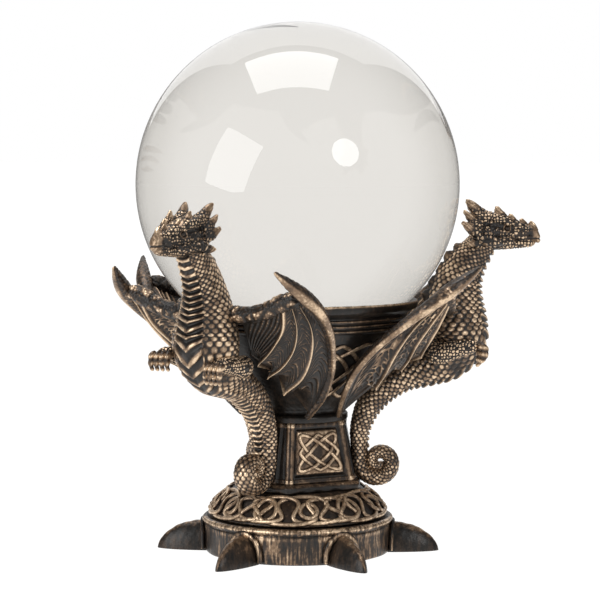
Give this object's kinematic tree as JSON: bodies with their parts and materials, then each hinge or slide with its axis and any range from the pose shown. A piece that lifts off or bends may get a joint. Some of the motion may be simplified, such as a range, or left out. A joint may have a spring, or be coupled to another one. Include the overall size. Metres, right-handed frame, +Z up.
{
  "type": "crystal ball on stand",
  "caption": "Clear glass ball that lifts out of a flared cup, on a six-sided column and clawed round base carried by winged dragons.",
  "frame": {"origin": "centre of the felt pad's underside, on the surface that the stand rests on", "axes": "+Z up through the ball's centre, -Y towards the front dragon's face"},
  "size_m": [0.1432, 0.1408, 0.1801],
  "materials": {
    "clear_glass": "polished clear glass with a faint warm grey tint",
    "seat_ring": "soft matt black rubber",
    "base_felt": "dense black felt",
    "dragon_bronze": "antique bronze on cast resin: near-black in the recesses, dry-brushed copper gold on every raised scale and edge",
    "talon_bronze": "antique bronze on cast resin, nearly black with streaks of gold along the ridge",
    "stand_bronze": "antique bronze on cast resin: dark, with streaky dry-brushed gold and bright knotwork"
  },
  "bodies": {
    "stand": {"front_dragon_body": "dragon_bronze", "front_dragon_head": "dragon_bronze", "front_dragon_left_wing": "dragon_bronze", "front_dragon_left_foreleg": "dragon_bronze", "front_dragon_right_wing": "dragon_bronze", "front_dragon_right_foreleg": "dragon_bronze", "right_dragon_body": "dragon_bronze", "right_dragon_head": "dragon_bronze", "right_dragon_left_wing": "dragon_bronze", "right_dragon_left_foreleg": "dragon_bronze", "right_dragon_right_wing": "dragon_bronze", "right_dragon_right_foreleg": "dragon_bronze", "left_dragon_body": "dragon_bronze", "left_dragon_head": "dragon_bronze", "left_dragon_left_wing": "dragon_bronze", "left_dragon_left_foreleg": "dragon_bronze", "left_dragon_right_wing": "dragon_bronze", "left_dragon_right_foreleg": "dragon_bronze", "talon_1": "talon_bronze", "talon_2": "talon_bronze", "talon_3": "talon_bronze", "talon_4": "talon_bronze", "talon_5": "talon_bronze", "talon_6": "talon_bronze", "left_front_knot_panel": "stand_bronze", "right_front_knot_panel": "stand_bronze", "back_knot_panel": "stand_bronze", "support_cup": "stand_bronze", "column": "stand_bronze", "column_foot": "stand_bronze", "base_dome": "stand_bronze", "knotwork_band": "stand_bronze", "base_drum": "stand_bronze", "felt_pad": "base_felt"},
    "seat": {"seat_ring": "seat_ring"},
    "ball": {"crystal_ball": "clear_glass"}
  },
  "joints": [
    {"name": "seat_turn", "type": "hinge", "parent": "stand", "child": "seat", "pos_m": [0, 0, 0.0745], "axis": [0, 0, 1], "continuous": true},
    {"name": "ball_lift", "type": "slide", "parent": "seat", "child": "ball", "axis": [0, 0, 1], "range_m": [0, 0.06]}
  ]
}
